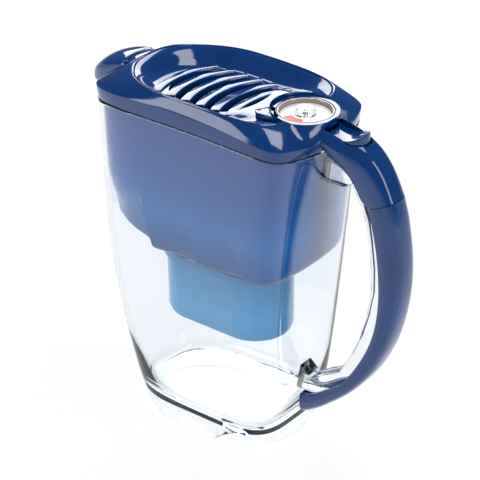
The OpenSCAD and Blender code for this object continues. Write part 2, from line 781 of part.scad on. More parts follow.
// The flap stands back a little more beside its hinge, where it swings past the frame.
hinge_relief = 0.5;
function dish_ring(k, dz) = [
    for (i = [0:ring_n - 1])
        let (
            q = bowl_pt(turn(i), -flap_gap),
            back = hinge_relief * smooth((18 - abs(q[0] - hinge_x)) / 14) * sign(q[1]),
            h = hole_pt(turn(i)),
            x = mix(h[0], q[0], k),
            y = mix(h[1], q[1] - back, k)
        ) [x, y, dish_z(x, y, k) + dz]
];
dish_steps = [1, 0.9, 0.75, 0.6, 0.42, 0.22, 0];
module flip_lid() {
    ear_y = bowl_half_w - flap_gap - 3;
    color(c_lid) difference() {
        union() {
            skin(concat(
                [for (k = dish_steps) dish_ring(k, 0)],
                [for (j = [len(dish_steps) - 1:-1:0]) dish_ring(dish_steps[j], -lid_wall)]
            ));
            translate([hinge_x - 10.5, -4, hinge_z - 6.1]) cube([7.5, 8, 3.6]);
            for (s = [-1, 1]) {
                translate([hinge_x - 2.6, s * ear_y - 1.9, hinge_z - 2.2]) cube([5.2, 3.8, 4.6]);
            }
        }
        translate([dial_x, 0, lid_z]) cylinder(r = island_r + flap_gap, h = 60, $fn = 96);
        translate([0, 0, lid_z]) island_tip(flap_gap);
        cross_bar(hinge_x, hinge_z, hinge_r, 120);
    }
}

slat_top = rim_z - 6.6;
slat_span = 61;
module louvre_slats() {
    h = slat_w / 2;
    color(c_lid) for (k = [0:slat_count - 1]) {
        translate([-3 + k * slat_pitch + slat_r - 60, -5.3, slat_top])
        rotate([0, 0, 172 - slat_span / 2])
        rotate_extrude(angle = slat_span, $fn = 96)
        polygon([
            [slat_r - h, -0.4],
            [slat_r - h + 0.8, 0.1],
            [slat_r + h, 0],
            [slat_r + h, -1.2],
            [slat_r - h + 2.6, -1.6],
            [slat_r - h + 1.2, -slat_depth],
            [slat_r - h - 0.2, -slat_depth]
        ]);
    }
}

module flip_pins() {
    color(c_steel) for (s = [-1, 1]) {
        translate([0, s * (bowl_half_w - 2.4), 0]) cross_bar(hinge_x, hinge_z, hinge_r, 5.6);
    }
}

// ---- dial ----

module dial_well() {
    color(c_lid) translate([dial_x, 0, 0]) difference() {
        translate([0, 0, well_floor - 1.2]) cylinder(r = dial_r + 1.6, h = 1.2, $fn = 96);
        translate([0, 0, well_floor - 3]) cylinder(r = axle_r + run_gap, h = 6);
    }
}
module dial_bezel() {
    color(c_ring) translate([dial_x, 0, 0]) difference() {
        translate([0, 0, well_floor + 0.1]) cylinder(r = dial_r + 1.6, h = island_z - well_floor - 0.3, $fn = 96);
        translate([0, 0, well_floor - 1]) cylinder(r = dial_r, h = 12, $fn = 96);
    }
}
axle_r = 1.45;
module dial_disc() {
    color(c_white) translate([dial_x, 0, 0]) difference() {
        translate([0, 0, well_floor + 0.6]) cylinder(r = dial_r - 0.4, h = 1.4, $fn = 96);
        translate([0, 0, well_floor]) cylinder(r = axle_r, h = 6);
    }
}
module dial_sector() {
    color(c_red) translate([dial_x, 0, well_floor + 2.05]) rotate([0, 0, 235])
        rotate_extrude(angle = 60, $fn = 96) translate([9.5, 0]) square([7.6, 0.5]);
}
module dial_knob() {
    rise = well_depth - 0.8;
    color(c_clear, 0.5) translate([dial_x, 0, well_floor + 2.1]) difference() {
        union() {
            cylinder(r1 = 7.6, r2 = 6.6, h = rise, $fn = 64);
            translate([0, 0, rise]) cylinder(r = 5.9, h = 1, $fn = 64);
        }
        translate([0, 0, -1]) cylinder(r = axle_r, h = 4);
    }
}
module dial_axle() {
    color(c_steel) translate([dial_x, 0, well_floor - 1.6]) cylinder(r = axle_r, h = 5.6);
}
module dial_pointer() {
    color(c_white) translate([dial_x, 0, island_z + 0.02]) linear_extrude(0.4) polygon([
        [-16, -15.5],
        [-12.5, -19.5],
        [-18.5, -18.8]
    ]);
}

// ---- thumb lever ----

module thumb_lever() {
    arm_z = pivot_z - 2.3;
    tip_x = hinge_x - 9;
    tip_z = hinge_z - 8.6;
    tip_r = 1.3;
    color(c_lid) difference() {
        union() {
            translate([tip_x, -2.5, arm_z]) cube([pivot_x - tip_x, 5, 2.5]);
            cross_bar(tip_x, tip_z, tip_r, 5);
            translate([tip_x - tip_r, -2.5, arm_z]) cube([2 * tip_r, 5, tip_z - arm_z]);
            cross_bar(pivot_x, pivot_z, 3.2, 12);
            translate([pivot_x, -6, pivot_z]) cube([9, 12, 4]);
        }
        cross_bar(pivot_x, pivot_z, pivot_r + run_gap, 40);
    }
}
// Thumb pad: round behind, straight in front, its top scooped up to the rear edge.
module thumb_pad() {
    scoop_r = 34.4;
    pad_z = pivot_z - 1;
    color(c_lid) difference() {
        union() {
            translate([pad_x, 0, pad_z]) cylinder(r = pad_r, h = 12.4, $fn = 96);
            translate([pivot_x - 5.4, -pad_r, pad_z]) cube([pad_x - pivot_x + 5.4, 2 * pad_r, 12.4]);
        }
        cross_bar(pivot_x + 3, pivot_z + 5 + scoop_r, scoop_r, 40, $fn = 192);
        cross_bar(pivot_x, pivot_z, 3.6, 40);
    }
}
module lever_pin() {
    color(c_steel) cross_bar(pivot_x, pivot_z, pivot_r, 2 * head_half_w - 2.8);
}
// Torsion spring beside the lever, wound round its pin.
module lever_spring() {
    color(c_steel) translate([pivot_x, 0, pivot_z]) rotate([90, 0, 0]) {
        for (k = [0:2]) {
            translate([0, 0, 7 + 0.95 * k]) rotate_extrude($fn = 48) translate([2.2, 0]) circle(r = 0.5, $fn = 24);
        }
    }
}
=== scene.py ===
"""Water filter pitcher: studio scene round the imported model, laid out as an add-on."""

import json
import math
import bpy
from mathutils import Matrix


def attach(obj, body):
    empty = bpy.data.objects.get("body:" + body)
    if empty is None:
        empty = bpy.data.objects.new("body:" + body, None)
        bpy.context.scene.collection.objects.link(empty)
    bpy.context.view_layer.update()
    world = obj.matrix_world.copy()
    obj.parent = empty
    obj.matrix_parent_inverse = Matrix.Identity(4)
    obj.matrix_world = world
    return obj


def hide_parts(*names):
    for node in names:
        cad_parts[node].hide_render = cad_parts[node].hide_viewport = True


bl_info = {
    "name": "Water Filter Pitcher",
    "version": (1, 0, 0),
    "blender": (4, 5, 0),
    "location": "View3D > Sidebar > Pitcher",
    "description": "Dresses a filter jug with its lid, hopper, cartridge and handle",
    "category": "Object",
}

import bmesh
import bpy
from bpy.props import FloatProperty, FloatVectorProperty, PointerProperty
from mathutils import Matrix, Vector

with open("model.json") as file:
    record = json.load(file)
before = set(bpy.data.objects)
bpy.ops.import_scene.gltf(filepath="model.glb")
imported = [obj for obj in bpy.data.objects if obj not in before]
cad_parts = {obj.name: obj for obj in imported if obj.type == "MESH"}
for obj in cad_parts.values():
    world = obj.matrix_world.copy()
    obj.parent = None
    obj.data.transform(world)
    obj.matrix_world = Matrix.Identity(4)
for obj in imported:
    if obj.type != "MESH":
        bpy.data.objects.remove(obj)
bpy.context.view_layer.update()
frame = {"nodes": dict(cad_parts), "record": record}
MM = 0.001


# ---- numbers and colours ----

def linear(code):
    """sRGB hex to the linear colour that a socket takes."""
    out = []
    for i in (1, 3, 5):
        c = int(code[i : i + 2], 16) / 255
        out.append(c / 12.92 if c <= 0.04045 else ((c + 0.055) / 1.055) ** 2.4)
    return (*out, 1.0)


def smooth(v):
    c = min(1.0, max(0.0, v))
    return c * c * (3 - 2 * c)


def mix(a, b, t):
    return a + (b - a) * t


# ---- form of the jug, in millimetres, as the CAD has it ----

# Jug
JUG_H = 247.7
RIM_FRONT = 110
FRONT_LEAN = 7
FRONT_BELLY = 24
BELLY_H = 150
FOOT_REAR = 47
REAR_LEAN = 26
REAR_FLARE = 3
FOOT_HALF_W = 47.5
RIM_HALF_W = 51.5
REAR_BOW = 11
REAR_CORNER_Y = 46
LIP_REACH = 24
LIP_DEPTH = 43
WALL = 2.4
FOOT_ARCH = 12
FOOT_ARCH_AT = math.radians(46)
FOOT_ARCH_HALF = math.radians(20)
# Lid
LID_Z = JUG_H + 0.3
RIM_Z = JUG_H + 19.5
BAND_H = 8
CREST_X = -25
CREST_HALF = 92
BOWL_X = -17.5
BOWL_HALF = 70.5
BOWL_HALF_W = 47.5
BOWL_DEPTH = 11
FLAP_GAP = 0.6
HINGE_Z = JUG_H + 16.3
HINGE_X = 24
# Dial and its island
DIAL_X = 51.0
ISLAND_Z = JUG_H + 18.8
ISLAND_R = 24.0
WELL_DEPTH = 5.2
# Thumb lever
PAD_X = 93.2
PAD_WELL_R = 11.2
# Hopper and cartridge
HOPPER_Z = 140.0
HOPPER_DEPTH = 107.7
HOPPER_WALL = 1.8
HOPPER_GAP = 0.7
FLUTE_FRONT = 9.5
FLUTE_DEPTH = 4.5
FLUTE_PITCH = 42.5
FLUTE_LEAN = 0.24
COLLAR_R = 28.5
CART_X = -15
CART_HALF = 23
# Spout flap
BEAK_ROOT = 97.6
BEAK_LENGTH = 41.4
BEAK_HALF_W = 17
BEAK_WALL = 2
# Points in each ring
RING = 144


def lift(z):
    return min(1.0, max(0.0, z / JUG_H))


def front_x(z):
    belly = FRONT_BELLY * max(0.0, 1 - z / BELLY_H) ** 1.8
    return -(RIM_FRONT - FRONT_LEAN * (1 - lift(z)) - belly)


def rear_x(z):
    return FOOT_REAR + REAR_LEAN * lift(z) + REAR_FLARE * lift(z) ** 3


def half_w(z):
    return mix(FOOT_HALF_W, RIM_HALF_W, smooth(lift(z) * 1.1))


def super_r(t, a, b, n):
    """Radius of a superellipse at angle t."""
    return (abs(math.cos(t) / a) ** n + abs(math.sin(t) / b) ** n) ** (-1 / n)


def back_r(t, a, w, c, n):
    """Radius to a bowed back that meets the sides in rounded corners."""
    ct, st = math.cos(t), max(0.0001, abs(math.sin(t)))
    back = 2 * a / max(0.0001, ct + math.sqrt(ct * ct + 4 * a * c * st * st))
    return ((w / st) ** -n + back**-n) ** (-1 / n)


def outline(z, t, off=0.0):
    """Point of the jug's outline at height z, pushed in or out by off."""
    k = lift(z)
    front, rear = front_x(z), rear_x(z)
    a = (rear - front) / 2 + off
    w = half_w(z) + off
    s = mix(
        super_r(t, a, w, 2.2 + 2.6 * math.sqrt(k)),
        back_r(t, a, w, REAR_BOW * k / REAR_CORNER_Y**2, 2.2 + 14 * k**0.7),
        smooth((math.cos(t) + 0.2) / 0.6),
    )
    u = s * math.cos(t)
    return (front + rear) / 2 + u, s * math.sin(t) * (1 + 0.02 * k * u / a)


def turns():
    """Ring angles, closer together at the front and at the rear corners."""
    out = []
    for i in range(RING):
        t = 2 * math.pi * i / RING
        out.append(t - 0.2007 * math.sin(2 * t) + 0.0593 * math.sin(4 * t))
    return out


def nose(y):
    """Share of the pouring lip's bulge at a distance from the middle."""
    return math.exp(-((y / 12) ** 2))


def arch(x):
    """Rise of the jug's rim along its length."""
    return 3 * (1 - ((x - CREST_X) / CREST_HALF) ** 2) * smooth((x + 112) / 30)


def arch_share(z):
    """Share of that rise at a height, none well below the rim."""
    return smooth((z - JUG_H + 78) / 70)


def jug_ring(z, off=0.0):
    """Ring of the jug's wall with its pouring lip and arched rim."""
    out = []
    for t in turns():
        x, y = outline(z, t, off)
        lip = LIP_REACH * smooth((z - JUG_H + LIP_DEPTH) / 40) * nose(y) if x < -60 else 0
        out.append((x - lip, y, z + arch_share(z) * arch(x)))
    return out


def foot_ring(z, off, rise=0.0):
    """Ring of the foot skirt, lifted over its two arches."""
    out = []
    for t in turns():
        side = abs(abs(t - 2 * math.pi if t > math.pi else t) - FOOT_ARCH_AT)
        arc = 0
        if side < FOOT_ARCH_HALF:
            arc = FOOT_ARCH * math.cos(side / FOOT_ARCH_HALF * math.pi / 2)
        h = max(z, arc + rise)
        out.append((*outline(h, t, off), h))
    return out


def flute(x, z):
    """Depth of the hopper's leaning flutes, sharp at the front edge of each."""
    down = HOPPER_Z + 58 - z
    u = (x + 64 - down * FLUTE_LEAN) / FLUTE_PITCH
    v = 0.8 if u < 0 else smooth((u - math.floor(u)) * 1.12)
    deep = FLUTE_FRONT * smooth((x + 116) / 26) if u < 0 else FLUTE_DEPTH
    return deep * v * smooth(down / 50) * smooth((58 - x) / 18)


def hopper_ring(z, off):
    """Ring of the hopper: the jug's outline drawn in along the flutes."""
    out = []
    for t in turns():
        x, y = outline(z, t, off)
        f = flute(x, z) * smooth((abs(y) - 6) / 18)
        ends = smooth((abs(x + 10) - 40) / 50) * smooth((HOPPER_Z + 50 - z) / 45)
        shift = 0.35 * f if x < -64 else 0
        high = z + arch_share(z) * arch(x) + 5 * ends
        out.append((x + shift, y * (1 - f / max(20, abs(y))), high))
    return out


def track_ring(z, r):
    """Ring of the cartridge's outline, long along the jug."""
    out = []
    for t in turns():
        s = super_r(t, CART_HALF + r, r, 3.2)
        out.append((CART_X + s * math.cos(t), s * math.sin(t), z))
    return out


def crease_z(x, y):
    """Height of the crease between the lid's side band and its deck."""
    crest = 6.5 * (1 - ((x - CREST_X) / CREST_HALF) ** 2)
    return LID_Z + BAND_H + crest + 1.2 * nose(y) * smooth((-90 - x) / 14)


def rim_h(x):
    """Height of the bowl's rim."""
    return RIM_Z + 3.6 * (1 - ((x - CREST_X) / 80) ** 2) + 2.4 * smooth((-70 - x) / 20)


def bowl_pt(t, grow=0.0):
    """Point of the bowl's outline, moved out by grow."""
    power = mix(4.6, 2.4, smooth((0.75 - math.cos(t)) / 1.5))
    s = super_r(t, BOWL_HALF, BOWL_HALF_W, power) + grow
    return BOWL_X + s * math.cos(t), s * math.sin(t)


# ---- materials ----

def add_node(tree, kind, settings=None, links=None):
    """Adds a node, sets its sockets and fields, and links its inputs."""
    made = tree.nodes.new(kind)
    for name, value in (settings or {}).items():
        if name in made.inputs:
            made.inputs[name].default_value = value
        else:
            setattr(made, name, value)
    for name, source in (links or {}).items():
        tree.links.new(source, made.inputs[name])
    return made


def new_material(name):
    """Empty node material and its tree."""
    made = bpy.data.materials.new(name)
    made.use_nodes = True
    tree = made.node_tree
    tree.nodes.clear()
    return made, tree


def finish_material(tree, settings, links=None):
    """Adds the surface shader and joins it to the output."""
    shader = add_node(tree, "ShaderNodeBsdfPrincipled", settings, links)
    out = add_node(tree, "ShaderNodeOutputMaterial")
    tree.links.new(shader.outputs["BSDF"], out.inputs["Surface"])
    return shader


def colour_ramp(tree, source, stops):
    """Colour ramp driven by a socket, from (position, sRGB hex) stops in order."""
    ramp = add_node(tree, "ShaderNodeValToRGB", links={"Fac": source})
    keys = ramp.color_ramp.elements
    keys[0].position, keys[0].color = stops[0][0], linear(stops[0][1])
    keys[1].position, keys[1].color = stops[-1][0], linear(stops[-1][1])
    for spot, code in stops[1:-1]:
        keys.new(spot).color = linear(code)
    return ramp


def fine_bump(tree, size_mm, strength, depth_mm=0.05):
    """Faint waviness that a moulded wall shows in its reflections."""
    where = add_node(tree, "ShaderNodeTexCoord")
    noise = add_node(
        tree,
        "ShaderNodeTexNoise",
        {"Scale": 1 / (size_mm * MM), "Detail": 2.0, "Roughness": 0.45},
        {"Vector": where.outputs["Object"]},
    )
    bump = add_node(
        tree,
        "ShaderNodeBump",
        {"Strength": strength, "Distance": depth_mm * MM},
        {"Height": noise.outputs["Fac"]},
    )
    return noise, bump


def polished_abs(name, light, dark, roughness=0.1):
    """ABS from a polished mould: deep colour, sharp reflections, a trace of sink waviness."""
    made, tree = new_material(name)
    noise, bump = fine_bump(tree, 26, 0.12)
    ramp = colour_ramp(tree, noise.outputs["Fac"], [(0.3, dark), (0.7, light)])
    finish_material(
        tree,
        {"Roughness": roughness, "IOR": 1.54, "Coat Weight": 0.35, "Coat Roughness": 0.04},
        {"Base Color": ramp.outputs["Color"], "Normal": bump.outputs["Normal"]},
    )
    return made


def scaled(tree, source, share):
    """Multiplies a socket by a share."""
    part = add_node(tree, "ShaderNodeMath", {"operation": "MULTIPLY"})
    part.inputs[1].default_value = share
    tree.links.new(source, part.inputs[0])
    return part.outputs["Value"]


def greater(tree, first, second):
    """The greater of two sockets."""
    most = add_node(tree, "ShaderNodeMath", {"operation": "MAXIMUM"})
    tree.links.new(first, most.inputs[0])
    tree.links.new(second, most.inputs[1])
    return most.outputs["Value"]


def blend(tree, share, first, second):
    """Mixes two shader nodes by a socket: the first at 0, the second at 1."""
    both = add_node(tree, "ShaderNodeMixShader", links={"Fac": share})
    tree.links.new(first.outputs[0], both.inputs[1])
    tree.links.new(second.outputs[0], both.inputs[2])
    return both


def let_lamps_through(tree, shader, share, tint=None):
    """Lets part of the lamps' light through the wall, as thin clear plastic does."""
    path = add_node(tree, "ShaderNodeLightPath")
    gap = add_node(tree, "ShaderNodeBsdfTransparent", links={"Color": tint} if tint else {})
    part = scaled(tree, path.outputs["Is Shadow Ray"], share)
    both = blend(tree, part, shader, gap)
    out = next(n for n in tree.nodes if n.type == "OUTPUT_MATERIAL")
    tree.links.new(both.outputs["Shader"], out.inputs["Surface"])


def clear_styrene(name, body, edge, roughness=0.02):
    """Styrene acrylonitrile, moulded clear: water-white face on, with painted shade that turns it
    grey where the wall turns away from the camera.
    """
    made, tree = new_material(name)
    _, bump = fine_bump(tree, 34, 0.04)
    turn = add_node(tree, "ShaderNodeLayerWeight", {"Blend": 0.3})
    # Painted shade: the colour runs from the body colour to the grey edge colour as the wall turns
    # away, for the dark rims that clear walls show.
    painted_edge_shade = colour_ramp(tree, turn.outputs["Facing"], [(0.55, body), (0.95, edge)])
    shader = finish_material(
        tree,
        {"Roughness": roughness, "IOR": 1.45, "Transmission Weight": 1.0},
        {"Base Color": painted_edge_shade.outputs["Color"], "Normal": bump.outputs["Normal"]},
    )
    let_lamps_through(tree, shader, 0.92)
    return made


def tinted_styrene_painted_light(name, stops, clearness, roughness, low, high):
    """Styrene tinted in the melt, with painted light and shade up its height: paler half way up,
    where most light gets through it, darker towards the bottom and the top.
    """
    made, tree = new_material(name)
    _, bump = fine_bump(tree, 30, 0.06)
    where = add_node(tree, "ShaderNodeTexCoord")
    parts = add_node(tree, "ShaderNodeSeparateXYZ", links={"Vector": where.outputs["Object"]})
    rise = add_node(
        tree,
        "ShaderNodeMapRange",
        {"From Min": low * MM, "From Max": high * MM},
        {"Value": parts.outputs["Z"]},
    )
    # Painted light and shade by height: the ramp's paler middle is painted light, its darker ends
    # painted shade.
    ramp = colour_ramp(tree, rise.outputs["Result"], stops)
    shader = finish_material(
        tree,
        {"Roughness": roughness, "IOR": 1.5, "Transmission Weight": clearness},
        {"Base Color": ramp.outputs["Color"], "Normal": bump.outputs["Normal"]},
    )
    let_lamps_through(tree, shader, 0.55, ramp.outputs["Color"])
    return made


def satin_polypropylene(name, light, dark, roughness=0.45):
    """Polypropylene from a lightly textured mould: soft sheen and a fine grain."""
    made, tree = new_material(name)
    noise, bump = fine_bump(tree, 0.8, 0.25, 0.02)
    ramp = colour_ramp(tree, noise.outputs["Fac"], [(0, dark), (1, light)])
    finish_material(
        tree,
        {"Roughness": roughness, "IOR": 1.49},
        {"Base Color": ramp.outputs["Color"], "Normal": bump.outputs["Normal"]},
    )
    return made


def drawn_steel(name):
    """Stainless wire, drawn: bright with fine lines along it."""
    made, tree = new_material(name)
    _, bump = fine_bump(tree, 0.4, 0.2, 0.01)
    finish_material(
        tree,
        {"Base Color": linear("#B8BCC2"), "Metallic": 1.0, "Roughness": 0.28},
        {"Normal": bump.outputs["Normal"]},
    )
    return made


def carbon_granules(name):
    """Activated carbon and resin beads packed together: dark grains of about 1 mm."""
    made, tree = new_material(name)
    where = add_node(tree, "ShaderNodeTexCoord")
    cells = add_node(
        tree,
        "ShaderNodeTexVoronoi",
        {"Scale": 1 / (1.4 * MM)},
        {"Vector": where.outputs["Object"]},
    )
    ramp = colour_ramp(tree, cells.outputs["Color"], [(0, "#5C7F9C"), (1, "#A9C4D8")])
    finish_material(tree, {"Roughness": 0.7}, {"Base Color": ramp.outputs["Color"]})
    return made


MATERIALS = {}


def material(name):
    """Makes a finish the first time it is asked for."""
    makers = {
        "lid_navy": lambda: polished_abs("lid_navy_polished_abs", "#053A7A", "#04336C"),
        # The second colour of each clear finish is painted shade at its grazing edges.
        "jug_clear": lambda: clear_styrene("jug_clear_styrene", "#F6F9FC", "#6E7884"),
        "dial_clear": lambda: clear_styrene("dial_clear_styrene", "#F2F4F6", "#8A8E94"),
        # Stops up the height: palest about a third of the way up as painted light, darker towards
        # the bottom and under the lid as painted shade.
        "hopper_blue": lambda: tinted_styrene_painted_light(
            "hopper_blue_styrene",
            [
                (0, "#06386F"), (0.12, "#0B4F90"), (0.35, "#0F63A8"), (0.6, "#0A4F96"),
                (1, "#063F84"),
            ],
            0.0, 0.1, 138, 250,
        ),
        # Stops up the height: palest about a third of the way up as painted light, darkest at the
        # top under the hopper as painted shade.
        "cartridge_blue": lambda: tinted_styrene_painted_light(
            "cartridge_blue_styrene",
            [(0, "#2E86BC"), (0.3, "#3C94C8"), (0.8, "#2A7FB4"), (1, "#1E6CA4")],
            0.0, 0.14, 79, 140,
        ),
        "white": lambda: satin_polypropylene("white_polypropylene", "#F4F4F1", "#ECECE8"),
        "red": lambda: satin_polypropylene("red_printed_polypropylene", "#DB5234", "#CE472C"),
        "bezel": lambda: polished_abs("bezel_smoke_abs", "#9A8A82", "#8C7C74", 0.2),
        "rubber": lambda: satin_polypropylene("seal_silicone", "#26282C", "#1C1E22", 0.6),
        "steel": lambda: drawn_steel("pin_steel"),
        "media": lambda: carbon_granules("filter_granules"),
    }
    if name not in MATERIALS:
        MATERIALS[name] = makers[name]()
    return MATERIALS[name]


# ---- mesh tools ----

def settings():
    """The user's sizes and colours."""
    return bpy.context.scene.pitcher


def body_of_node(node):
    for body, nodes in frame["record"]["behaviour"]["bodies"].items():
        if node in nodes:
            return body
    raise RuntimeError(f"no body holds {node}")


def loft(rings, wrap=True):
    """Skin over rings in millimetres: joined end to end, or closed by a face at each end."""
    made = bmesh.new()
    row = bmesh.ops.create_circle(made, cap_ends=False, radius=1, segments=len(rings[0]))["verts"]
    for v, p in zip(row, rings[0]):
        v.co = Vector(p) * MM
    edges = list(made.edges)
    if not wrap:
        bmesh.ops.contextual_create(made, geom=edges)
    for ring in rings[1:] + ([rings[0]] if wrap else []):
        fresh = bmesh.ops.extrude_edge_only(made, edges=edges)["geom"]
        edges = [e for e in fresh if isinstance(e, bmesh.types.BMEdge)]
        new = {v for v in fresh if isinstance(v, bmesh.types.BMVert)}
        edges = [e for e in edges if e.verts[0] in new and e.verts[1] in new]
        following = [
            next(e.other_vert(v) for e in v.link_edges if e.other_vert(v) in new) for v in row
        ]
        for v, p in zip(following, ring):
            v.co = Vector(p) * MM
        row = following
    if wrap:
        bmesh.ops.remove_doubles(made, verts=made.verts, dist=0.0005 * MM)
    else:
        bmesh.ops.contextual_create(made, geom=edges)
    return outward(made)


def outward(made):
    """Turns every face outward."""
    bmesh.ops.recalc_face_normals(made, faces=made.faces)
    if made.calc_volume(signed=True) < 0:
        bmesh.ops.reverse_faces(made, faces=made.faces)
    return made


def soften(made, width, segments=2, angle=35):
    """Bevels every edge that is sharper than the angle."""
    sharp = [
        e for e in made.edges
        if len(e.link_faces) == 2 and e.calc_face_angle(0) > math.radians(angle)
    ]
    bmesh.ops.bevel(
        made, geom=sharp, offset=width * MM, offset_type="OFFSET", segments=segments,
        profile=0.5, affect="EDGES", material=-1, clamp_overlap=True,
    )
    bmesh.ops.recalc_face_normals(made, faces=made.faces)
    return made


def place(name, made, finish, body, node=None, angle=35):
    """Turns a bmesh into an object that rides on a body."""
    mesh = bpy.data.meshes.new(name)
    made.to_mesh(mesh)
    made.free()
    mesh.materials.append(material(finish))
    piece = bpy.data.objects.new(name, mesh)
    bpy.context.scene.collection.objects.link(piece)
    for face in mesh.polygons:
        face.use_smooth = True
    mesh.set_sharp_from_angle(angle=math.radians(angle))
    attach(piece, body)
    if node:
        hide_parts(node)
    return piece


def dress(node, made, finish, angle=35):
    """Puts a modelled piece in the place of its CAD node."""
    return place(f"{node}_skin", made, finish, body_of_node(node), node, angle)


def cad_mesh(node):
    """A copy of a CAD solid's mesh with its doubled corners merged."""
    made = bmesh.new()
    made.from_mesh(frame["nodes"][node].data)
    bmesh.ops.remove_doubles(made, verts=made.verts, dist=0.02 * MM)
    return made


def flattened(made):
    """Joins up the triangles of each flat face."""
    bmesh.ops.dissolve_limit(
        made, angle_limit=math.radians(0.5), verts=made.verts, edges=made.edges
    )
    return made


def glide(points, parts):
    """Points along a smooth curve through the given ones."""
    out = []
    last = len(points) - 1
    for j in range(last):
        a, b = points[max(0, j - 1)], points[j]
        c, d = points[j + 1], points[min(last, j + 2)]
        for k in range(parts):
            t = k / parts
            out.append([
                0.5 * (2 * q + (r - p) * t + (2 * p - 5 * q + 4 * r - s) * t * t
                       + (3 * q - p - 3 * r + s) * t**3)
                for p, q, r, s in zip(a, b, c, d)
            ])
    out.append(list(points[-1]))
    return out


# ---- jug, hopper, cartridge ----

def jug_mesh():
    """The jug's shell, from under its floor over the skirt and the rim to the floor inside."""
    under = 13.8
    levels = [mix(0.085, 0.94, k / 26) for k in range(27)] + [0.97, 0.99]
    outer = [jug_ring(f * JUG_H) for f in levels]
    inner = [jug_ring(f * JUG_H, -WALL) for f in reversed(levels[4:])]
    return loft(
        [
            jug_ring(under, -16.4),
            foot_ring(under - 0.6, -2 * WALL),
            foot_ring(0.6, -WALL),
            foot_ring(0.0, -WALL + 0.5),
            foot_ring(0.0, -0.5),
            foot_ring(0.6, 0, 0.6),
            foot_ring(4, 0, 1.8),
            foot_ring(10, 0, 3),
        ]
        + outer
        + [
            jug_ring(JUG_H - 0.5, 0),
            jug_ring(JUG_H, -0.5),
            jug_ring(JUG_H, -WALL + 0.5),
            jug_ring(JUG_H - 0.5, -WALL),
        ]
        + inner
        + [
            jug_ring(24, -WALL - 0.3),
            jug_ring(19, -WALL - 2),
            jug_ring(17, -WALL - 5),
            jug_ring(16.2, -WALL - 10),
        ],
        wrap=False,
    )


def hopper_mesh():
    """The hopper's shell with its flange and the collar that takes the cartridge."""
    f, o, w = HOPPER_Z, -WALL - HOPPER_GAP, HOPPER_WALL
    levels = [f + HOPPER_DEPTH * (0.1 + 0.88 * j / 30) for j in range(31)]
    collar = COLLAR_R
    return loft(
        [
            track_ring(f - 2.5, collar),
            track_ring(f - 2.5, collar + 2.1),
            track_ring(f - 1.9, collar + 2.4),
            track_ring(f - 1.8, collar + 6.5),
            hopper_ring(f + 2.0, o - 11),
            hopper_ring(f + 2.9, o - 6.5),
            hopper_ring(f + 4.6, o - 3),
            hopper_ring(f + 6.6, o - 1.1),
            hopper_ring(f + 8.6, o - 0.4),
        ]
        + [hopper_ring(z, o) for z in levels]
        + [
            hopper_ring(LID_Z, o),
            hopper_ring(LID_Z, -1.4),
            hopper_ring(LID_Z + 1.8, -1.4),
            hopper_ring(LID_Z + 1.8, o - w),
        ]
        + [hopper_ring(z, o - w) for z in reversed(levels)]
        + [
            hopper_ring(f + 9, o - w - 1),
            hopper_ring(f + 5.6, o - w - 6),
            track_ring(f + 0.2, collar + 6.5),
            track_ring(f, collar + 2.1),
            track_ring(f + 7, collar + 2.1),
            track_ring(f + 7, collar),
        ]
    )


# ---- lid ----

def lid_ring(off, dz, high):
    """Ring of the lid's side band, along its lower edge or its crease."""
    out = []
    for t in turns():
        x, y = outline(LID_Z, t, off)
        low = LID_Z + arch(x) + 4 * nose(y) * smooth((-85 - x) / 20)
        out.append((x, y, (crease_z(x, y) if high else low) + dz))
    return out


def opening_pt(t, grow):
    """Edge of the lid's opening: the bowl's outline, and the island's back behind it."""
    x, y = bowl_pt(t, grow)
    off = DIAL_X - BOWL_X
    inside = (ISLAND_R + 0.3) ** 2 - (off * math.sin(t)) ** 2
    if math.cos(t) > 0 and inside > 0:
        s = off * math.cos(t) + math.sqrt(inside)
        if s > math.hypot(x - BOWL_X, y):
            back = BOWL_X + s * math.cos(t)
            return back, s * math.sin(t), ISLAND_Z - 0.15 - rim_h(back)
    return x, y, 0.0


def opening_ring(grow, dz, ledge=0.0):
    """Ring round the lid's opening, drawn in by the ledge that the flip lid rests on."""
    out = []
    for t in turns():
        x, y, sink = opening_pt(t, grow)
        if ledge and x < -20:
            x, y, sink = opening_pt(t, grow - ledge)
        out.append((x, y, rim_h(x) + sink + dz))
    return out


def between(first, second, k, dz):
    """Ring at share k from one ring to another, raised by dz."""
    return [
        (mix(a[0], b[0], k), mix(a[1], b[1], k), mix(a[2], b[2], k) + dz)
        for a, b in zip(first, second)
    ]


def lid_mesh():
    """The lid's shell: side band, crease, deck, bowl rim and the underside."""
    edge, brim = lid_ring(0.8, 0, True), opening_ring(1.2, 0)
    under = lid_ring(-3.4, -2.4, True)
    top = [between(edge, brim, k, 0.4 + 2.6 * k * (1 - k)) for k in (0.12, 0.3, 0.5, 0.7, 0.88)]
    return loft(
        [
            lid_ring(-1, 0, False),
            lid_ring(-0.3, 0, False),
            lid_ring(0, 0.4, False),
            between(lid_ring(0, 0, False), lid_ring(0.8, -0.5, True), 0.5, 0),
            lid_ring(0.8, -0.5, True),
            lid_ring(0.7, 0.05, True),
        ]
        + top
        + [
            opening_ring(1.1, 0.2),
            opening_ring(0.5, 0.3),
            opening_ring(0.1, 0.1),
            opening_ring(0, -0.4),
            opening_ring(0, -3.6),
            opening_ring(0, -4.2, 2),
            opening_ring(0, -5.8, 2),
            opening_ring(1.4, -6),
            between(under, opening_ring(1.4, -6), 0.5, 0),
            under,
            lid_ring(-3.4, 2.1, False),
            lid_ring(-1, 2.1, False),
        ]
    )


